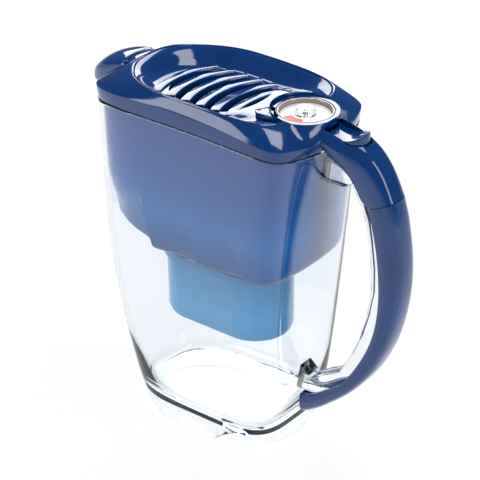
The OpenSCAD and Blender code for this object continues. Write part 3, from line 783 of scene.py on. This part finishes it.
def lathe(profile, x, y, segments=128):
    """Full spin of a closed (radius, height) profile about an upright line."""
    made = bmesh.new()
    points = [made.verts.new((x * MM + r * MM, y * MM, z * MM)) for r, z in profile]
    edges = [made.edges.new((p, points[(i + 1) % len(points)])) for i, p in enumerate(points)]
    bmesh.ops.spin(
        made, geom=points + edges, cent=(x * MM, y * MM, 0), axis=(0, 0, 1),
        angle=2 * math.pi, steps=segments, use_merge=True,
    )
    bmesh.ops.remove_doubles(made, verts=made.verts, dist=0.001 * MM)
    bmesh.ops.recalc_face_normals(made, faces=made.faces)
    return made


def flap_loop():
    """Edge of the flip lid, with the hole angle that each point runs to."""
    r, out = ISLAND_R + FLAP_GAP, []
    for k in range(17):
        phi = math.radians(180 - 93.2 * k / 16)
        out.append((DIAL_X + r * math.cos(phi), r * math.sin(phi), 0.42 * (k / 16) ** 1.3))
    start = 0.338
    steps = RING // 2 - 17
    for k in range(1, steps + 1):
        u = k / steps
        t = mix(start, math.pi, u)
        t = t - 0.12 * math.sin(2 * math.pi * u) * (1 - u)
        x, y = bowl_pt(t, -FLAP_GAP)
        out.append((x, y, mix(0.42, math.pi, u**0.96)))
    half = out[:-1]
    far = [(x, -y, 2 * math.pi - t) for x, y, t in half[1:]]
    return half + [out[-1]] + far[::-1]


def dish_ring(k, dz):
    """Ring of the flip lid's bowl, from its hole at k = 0 to its edge at k = 1."""
    out = []
    for qx, qy, t in flap_loop():
        s = super_r(t, 36.5, 29.5, 2.6)
        hx, hy = -23 + s * math.cos(t), s * math.sin(t)
        ear = 0
        if abs(qy) > 30:
            ear = math.copysign(0.5 * smooth((18 - abs(qx - HINGE_X)) / 14), qy)
        x, y = mix(hx, qx, k), mix(hy, qy - ear, k)
        fall = BOWL_DEPTH * smooth((1 - k) / 0.75)
        climb = smooth((x + 6) / 22) * smooth((34 - abs(y)) / 12)
        z = mix(rim_h(x) - fall, HINGE_Z - 1.4, climb * smooth((1 - k) / 0.2))
        out.append((x, y, z + dz))
    return out


def flap_mesh():
    """The flip lid's bowl, a dish with an open middle."""
    steps = [1 - 0.1 * j for j in range(10)] + [0.0]
    return loft(
        [dish_ring(1, -0.35)]
        + [dish_ring(0.985, 0)]
        + [dish_ring(k, 0) for k in steps[1:]]
        + [dish_ring(k, -2.2) for k in reversed(steps)]
    )


def carve(made, cutters):
    """Cuts shapes out of a mesh and returns what is left."""
    def thing(source, name):
        mesh = bpy.data.meshes.new(name)
        source.to_mesh(mesh)
        source.free()
        new = bpy.data.objects.new(name, mesh)
        bpy.context.scene.collection.objects.link(new)
        return new

    stock = thing(made, "carve_stock")
    tools = [thing(c, f"carve_tool_{i}") for i, c in enumerate(cutters)]
    for tool in tools:
        cut = stock.modifiers.new("cut", "BOOLEAN")
        cut.operation = "DIFFERENCE"
        cut.solver = "MANIFOLD"
        cut.object = tool
    bpy.context.view_layer.update()
    seen = stock.evaluated_get(bpy.context.evaluated_depsgraph_get())
    out = bmesh.new()
    out.from_mesh(bpy.data.meshes.new_from_object(seen))
    if not out.verts:
        raise RuntimeError("the cut left nothing")
    for new in [stock, *tools]:
        bpy.data.objects.remove(new, do_unlink=True)
    bmesh.ops.remove_doubles(out, verts=out.verts, dist=0.002 * MM)
    return out


def block(lo, hi):
    """Box between two corners, in millimetres."""
    made = bmesh.new()
    size = [(b - a) * MM for a, b in zip(lo, hi)]
    middle = [(a + b) / 2 * MM for a, b in zip(lo, hi)]
    where = Matrix.Translation(middle) @ Matrix.Diagonal((*size, 1))
    bmesh.ops.create_cube(made, size=1, matrix=where)
    return made


def rod(x, y, z, r, length):
    """Upright cylinder round a middle point, in millimetres."""
    made = bmesh.new()
    bmesh.ops.create_cone(
        made, cap_ends=True, radius1=r * MM, radius2=r * MM, depth=length * MM,
        segments=96, matrix=Matrix.Translation((x * MM, y * MM, z * MM)),
    )
    return made


def lever_slot():
    """Cutter for the slot that the thumb lever swings in."""
    return block((74, -10.8, 251), (92.5, 10.8, 290))


def lever_cutters():
    """The round well under the thumb pad, and the slot in front of it."""
    return [rod(PAD_X, 0, 270, PAD_WELL_R, 38), lever_slot()]


# ---- dial's island and bezel ----

def island_mesh():
    """The flat ring round the dial, open where the thumb lever swings."""
    top, low = ISLAND_Z, ISLAND_Z - WELL_DEPTH
    ring = lathe(
        [(20.3, low), (20.3, top - 0.3), (20.6, top), (23.7, top), (24, top - 0.3), (24, low)],
        DIAL_X, 0,
    )
    return carve(ring, [lever_slot()])


def island_tip_mesh():
    """The island's pointed tip, which carries the dial's pointer."""
    top, deep = ISLAND_Z, 3.2
    tip = bmesh.new()
    corners = [(29, -9), (23, -20.5), (27, -24), (43, -24), (43, -9)]
    face = bmesh.ops.contextual_create(
        tip, geom=[tip.verts.new((x * MM, y * MM, (top - deep) * MM)) for x, y in corners]
    )["faces"]
    up = bmesh.ops.extrude_face_region(tip, geom=face)["geom"]
    bmesh.ops.translate(
        tip, vec=(0, 0, deep * MM), verts=[v for v in up if isinstance(v, bmesh.types.BMVert)]
    )
    bmesh.ops.recalc_face_normals(tip, faces=tip.faces)
    return carve(soften(tip, 0.4), [rod(DIAL_X, 0, top, 20.35, 20)])


def bezel_mesh():
    """The dial's bezel ring, rounded at its window."""
    top, low = ISLAND_Z - 0.2, ISLAND_Z - 5.1
    return lathe(
        [
            (18.4, low), (18.4, top - 0.9), (18.9, top), (19.7, top + 0.1), (20, top - 0.2),
            (20, low),
        ],
        DIAL_X, 0,
    )


# ---- handle ----

# Stations along the handle: outer x and z, inner x and z, half width. The head's heights are
# from the jug's rim, the cover's are shares of the height of the seam between the two.
HEAD_PATH = (
    (57, 17.6, 57, 5, 17.5), (72, 16.4, 75, 2.7, 16), (88, 14, 80, -1.8, 15.2),
    (101, 9.8, 89, -6.7, 14.4), (112, 2.8, 97, -13.2, 13.7), (121.7, -8.9, 104, -23.2, 13.1),
    (129.8, -25.2, 112, -33.2, 12.7),
)
COVER_PATH = (
    (129.95, 1.0158, 112.1, 0.98, 12.7), (134.5, 0.943, 115.5, 0.927, 12.5),
    (138, 0.842, 119.8, 0.8375, 12.5), (139, 0.746, 122.2, 0.745, 12.5),
    (137.4, 0.6545, 122.7, 0.659, 12.5), (133, 0.556, 120.6, 0.5675, 12.5),
    (126.3, 0.4645, 115.5, 0.485, 12.5), (115.5, 0.3675, 106, 0.3935, 12.5),
    (98.7, 0.269, 92.5, 0.302, 12.5), (81.1, 0.194, 76, 0.2425, 12.5),
    (68, 0.147, 66.5, 0.216, 12.5), (57.5, 0.119, 58, 0.206, 12.9),
)
# Half of the open section: share of the half width, share of the depth from the inner edge.
HALF_SECTION = (
    (0.9, 0.012), (0.92, 0), (0.95, 0.004), (1, 0.16), (1.005, 0.3), (1, 0.43), (0.985, 0.47),
    (0.94, 0.6), (0.86, 0.75), (0.75, 0.86), (0.62, 0.93), (0.46, 0.972), (0.3, 0.99), (0.14, 1),
)


def cover_points(station, wall):
    """Section at a station of the handle, drawn in by the wall."""
    outer, inner = Vector(station[:2]), Vector(station[2:4])
    deep = (outer - inner).length
    along = (outer - inner) / deep
    left = [(-a, b) for a, b in HALF_SECTION]
    right = [(a, b) for a, b in reversed(HALF_SECTION)]
    out = []
    for a, b in left + [(0, 1.003)] + right:
        q = inner + along * ((deep - wall) * b)
        out.append((q[0], (station[4] - wall) * a, q[1]))
    return out


def cover_ring(station):
    """Closed ring of the handle's shell: its outside, then its inside on the way back."""
    return cover_points(station, 0) + cover_points(station, WALL)[::-1]


def head_mesh():
    """The handle's head, with the thumb lever's well cut in and the dial's island cut off."""
    path = [(s[0], JUG_H + s[1], s[2], JUG_H + s[3], s[4]) for s in HEAD_PATH]
    made = loft([cover_ring(s) for s in glide(path, 6)], wrap=False)
    return carve(made, [*lever_cutters(), rod(DIAL_X, 0, 275, ISLAND_R - 0.4, 30.6)])


def cover_mesh():
    """The blue cover of the handle, below the seam."""
    seam = JUG_H - 29.2
    path = [(s[0], s[1] * seam, s[2], s[3] * seam, s[4]) for s in COVER_PATH]
    return loft([cover_ring(s) for s in glide(path, 6)], wrap=False)


def spine_mesh():
    """The clear bar's own skin, from the CAD solid, with its long edges rounded."""
    return soften(cad_mesh("jug_handle"), 1.2, 3, 30)


# ---- spout flap ----

def beak_arch(x, w, top, low, t):
    """Arch across the flap: half width w, from low up to top, drawn in by t."""
    out = []
    for k in range(33):
        a = math.pi * k / 32
        out.append((x, -(w - t) * math.cos(a), low + (top - low - t) * math.sin(a) ** 0.5))
    return out


def beak_mesh():
    """The beak-shaped shell over the spout, from its tip at k = 1 to its root at k = 0."""
    rings = []
    for j in range(31):
        k = 1 - j / 30
        w = BEAK_HALF_W * math.sqrt(max(0.02, 1 - k**2.2))
        top = JUG_H + mix(22.3, -0.2, k**2.2) - 1.2 * smooth(1 - k * 22)
        low = JUG_H + mix(14.8, -4.7, smooth(k * 1.2))
        x = -BEAK_ROOT - BEAK_LENGTH * k
        wall = min(BEAK_WALL, w * 0.4)
        rings.append(beak_arch(x, w, top, low, 0) + beak_arch(x, w, top, low, wall)[::-1])
    return loft(rings, wrap=False)


# ---- settings ----

class PitcherSettings(bpy.types.PropertyGroup):
    """Sizes and colours that a user may change."""

    camera_distance: FloatProperty(
        name="Camera distance",
        description="From the camera to the middle of the jug",
        default=1.44,
        unit="LENGTH",
    )
    camera_turn: FloatProperty(
        name="Camera turn",
        description="Round the jug from the front, towards the handle",
        default=math.radians(38),
        subtype="ANGLE",
    )
    camera_rise: FloatProperty(
        name="Camera rise",
        description="Above the horizon",
        default=math.radians(29.2),
        subtype="ANGLE",
    )
    floor_shade: FloatVectorProperty(
        name="Floor colour",
        description="Colour of the pale studio floor",
        default=(0.9, 0.9, 0.9),
        subtype="COLOR",
    )


# ---- operators ----

# Finish and width of the rounded edges, in millimetres.
PLAIN_NODES = {
    "filter_media": ("media", 0), "cartridge_mesh": ("white", 0.3), "cartridge_cap": ("white", 0.4),
    "cartridge_seal": ("rubber", 0), "cartridge_casing": ("cartridge_blue", 0.5),
    "louvre_slats": ("lid_navy", 0.35), "flip_pins": ("lid_navy", 0),
    "thumb_lever": ("lid_navy", 0.3), "lever_pin": ("steel", 0), "lever_spring": ("steel", 0),
    "spout_pins": ("lid_navy", 0), "spout_saddle": ("lid_navy", 0.5), "dial_well": ("lid_navy", 0),
    "dial_disc": ("white", 0.15), "dial_sector": ("red", 0), "dial_axle": ("steel", 0),
    "dial_pointer": ("white", 0), "thumb_pad": ("lid_navy", 0.7), "dial_knob": ("dial_clear", 0.5),
}


class PITCHER_OT_plain(bpy.types.Operator):
    """Dresses the pieces whose CAD shape needs only rounded edges"""

    bl_idname = "pitcher.plain"
    bl_label = "Plain Pieces"

    def execute(self, context):
        for node, (finish, width) in PLAIN_NODES.items():
            made = cad_mesh(node)
            if width:
                made = soften(flattened(made), width)
            dress(node, made, finish)
        return {"FINISHED"}


class PITCHER_OT_jug(bpy.types.Operator):
    """Models the clear jug and its spine"""

    bl_idname = "pitcher.jug"
    bl_label = "Jug"

    def execute(self, context):
        dress("jug_body", jug_mesh(), "jug_clear", 50)
        dress("jug_handle", spine_mesh(), "jug_clear", 40)
        return {"FINISHED"}


class PITCHER_OT_hopper(bpy.types.Operator):
    """Models the fluted hopper"""

    bl_idname = "pitcher.hopper"
    bl_label = "Hopper"

    def execute(self, context):
        dress("hopper", hopper_mesh(), "hopper_blue", 28)
        return {"FINISHED"}


class PITCHER_OT_lid(bpy.types.Operator):
    """Models the lid's band, deck and island, and the spout flap"""

    bl_idname = "pitcher.lid"
    bl_label = "Lid"

    def execute(self, context):
        nose_slot = block((62, -5, 248.5), (84, 5, 262))
        deck = carve(lid_mesh(), [*lever_cutters(), nose_slot])
        dress("lid_frame", deck, "lid_navy", 30)
        place("lid_island", island_mesh(), "lid_navy", "lid")
        place("lid_island_tip", island_tip_mesh(), "lid_navy", "lid")
        dress("spout_flap", beak_mesh(), "lid_navy", 40)
        return {"FINISHED"}


class PITCHER_OT_flip(bpy.types.Operator):
    """Models the flip lid's bowl"""

    bl_idname = "pitcher.flip"
    bl_label = "Flip Lid"

    def execute(self, context):
        dress("flip_lid", flap_mesh(), "lid_navy", 35)
        return {"FINISHED"}


class PITCHER_OT_handle(bpy.types.Operator):
    """Models the handle's head and cover"""

    bl_idname = "pitcher.handle"
    bl_label = "Handle"

    def execute(self, context):
        dress("handle_head", head_mesh(), "lid_navy", 30)
        dress("handle_cover", cover_mesh(), "lid_navy", 30)
        return {"FINISHED"}


class PITCHER_OT_dial(bpy.types.Operator):
    """Models the dial's bezel"""

    bl_idname = "pitcher.dial"
    bl_label = "Dial"

    def execute(self, context):
        dress("dial_bezel", bezel_mesh(), "bezel")
        return {"FINISHED"}


# ---- studio ----

FLOOR_RADIUS = 6
FLOOR_GLOW = 0.85
CAMERA_LENS = 148.9
CAMERA_SENSOR = 36
CAMERA_TARGET = (-0.0063, 0, 0.1456)
CAMERA_ROLL = math.radians(-0.3)
# Name, place, target, width and height in metres, power in watts.
SOFTBOXES = (
    ("softbox_far", (-0.55, 0.75, 0.8), (-0.02, 0, 0.22), 0.75, 0.6, 8),
    ("softbox_front", (-0.75, -1.05, 0.62), (0, 0, 0.18), 0.5, 0.9, 6),
    ("softbox_handle", (1.2, -0.1, 0.75), (0.05, 0, 0.15), 0.35, 1.0, 5),
    ("softbox_top", (0.25, 0.2, 1.4), (0, 0, 0.2), 0.5, 0.5, 4),
)


def shade_world(world):
    """White to the camera and through glass, dim in reflections, soft grey as light."""
    world.use_nodes = True
    tree = world.node_tree
    tree.nodes.clear()
    path = add_node(tree, "ShaderNodeLightPath")
    soft = add_node(tree, "ShaderNodeBackground", {"Color": linear("#F2F5FA"), "Strength": 0.5})
    dim = add_node(tree, "ShaderNodeBackground", {"Color": linear("#C9D6E6"), "Strength": 0.16})
    white = add_node(tree, "ShaderNodeBackground", {"Color": (1, 1, 1, 1), "Strength": 1.0})
    glossy = blend(tree, path.outputs["Is Glossy Ray"], soft, dim)
    seen = greater(tree, path.outputs["Is Camera Ray"], path.outputs["Is Transmission Ray"])
    both = blend(tree, seen, glossy, white)
    out = add_node(tree, "ShaderNodeOutputWorld")
    tree.links.new(both.outputs[0], out.inputs["Surface"])


def floor_material(shade):
    """Matt studio floor that glows white where the camera sees it, and still takes shadows."""
    made, tree = new_material("studio_floor")
    path = add_node(tree, "ShaderNodeLightPath")
    matt = add_node(tree, "ShaderNodeBsdfDiffuse", {"Color": (*shade, 1)})
    glow = add_node(tree, "ShaderNodeEmission", {"Color": (1, 1, 1, 1), "Strength": 1.0})
    seen = greater(tree, path.outputs["Is Camera Ray"], path.outputs["Is Transmission Ray"])
    both = blend(tree, scaled(tree, seen, FLOOR_GLOW), matt, glow)
    out = add_node(tree, "ShaderNodeOutputMaterial")
    tree.links.new(both.outputs[0], out.inputs["Surface"])
    return made


def floor_disc(shade):
    """Round studio floor under the jug."""
    made = bmesh.new()
    bmesh.ops.create_circle(made, cap_ends=True, radius=FLOOR_RADIUS, segments=64)
    mesh = bpy.data.meshes.new("floor")
    made.to_mesh(mesh)
    made.free()
    mesh.materials.append(floor_material(shade))
    floor = bpy.data.objects.new("floor", mesh)
    bpy.context.scene.collection.objects.link(floor)
    return floor


def area_light(name, spot, target, width, height, power):
    """Soft box of a width and height in metres, turned to its target."""
    lamp = bpy.data.lights.new(name, "AREA")
    lamp.shape = "RECTANGLE"
    lamp.size = width
    lamp.size_y = height
    lamp.energy = power
    thing = bpy.data.objects.new(name, lamp)
    bpy.context.scene.collection.objects.link(thing)
    thing.location = spot
    thing.rotation_euler = (Vector(target) - Vector(spot)).to_track_quat("-Z", "Y").to_euler()


def photo_camera(turn, rise, distance):
    """Camera that looks at the jug as the photograph does."""
    view = bpy.data.cameras.new("camera")
    view.lens = CAMERA_LENS
    view.sensor_width = CAMERA_SENSOR
    eye = bpy.data.objects.new("camera", view)
    bpy.context.scene.collection.objects.link(eye)
    back = Vector(
        (math.sin(turn) * math.cos(rise), -math.cos(turn) * math.cos(rise), math.sin(rise))
    )
    eye.location = Vector(CAMERA_TARGET) + back * distance
    eye.rotation_euler = back.to_track_quat("Z", "Y").to_euler()
    eye.rotation_euler.rotate_axis("Z", CAMERA_ROLL)
    return eye


class PITCHER_OT_stage(bpy.types.Operator):
    """Makes the floor, the soft lights and the camera"""

    bl_idname = "pitcher.stage"
    bl_label = "Stage"

    def execute(self, context):
        chosen = settings()
        scene = context.scene
        scene.world = bpy.data.worlds.new("studio")
        shade_world(scene.world)
        floor = floor_disc(chosen.floor_shade)
        for softbox in SOFTBOXES:
            area_light(*softbox)
        scene.camera = photo_camera(
            chosen.camera_turn, chosen.camera_rise, chosen.camera_distance
        )
        scene.view_settings.view_transform = "Standard"
        return {"FINISHED"}


class PITCHER_PT_panel(bpy.types.Panel):
    """Shows a button for each group of pieces, and the user's sizes and colours"""

    bl_idname = "PITCHER_PT_panel"
    bl_label = "Pitcher"
    bl_space_type = "VIEW_3D"
    bl_region_type = "UI"
    bl_category = "Pitcher"

    def draw(self, context):
        for made in OPERATORS:
            self.layout.operator(made.bl_idname)
        for name in PitcherSettings.__annotations__:
            self.layout.prop(context.scene.pitcher, name)


OPERATORS = (
    PITCHER_OT_plain, PITCHER_OT_jug, PITCHER_OT_hopper, PITCHER_OT_lid, PITCHER_OT_flip,
    PITCHER_OT_handle, PITCHER_OT_dial, PITCHER_OT_stage,
)
CLASSES = (PitcherSettings, *OPERATORS, PITCHER_PT_panel)


def register():
    for made in CLASSES:
        bpy.utils.register_class(made)
    bpy.types.Scene.pitcher = PointerProperty(type=PitcherSettings)


def unregister():
    del bpy.types.Scene.pitcher
    for made in reversed(CLASSES):
        bpy.utils.unregister_class(made)


def main():
    register()
    for made in OPERATORS:
        group, name = made.bl_idname.split(".")
        getattr(getattr(bpy.ops, group), name)()


if __name__ == "__main__":
    main()
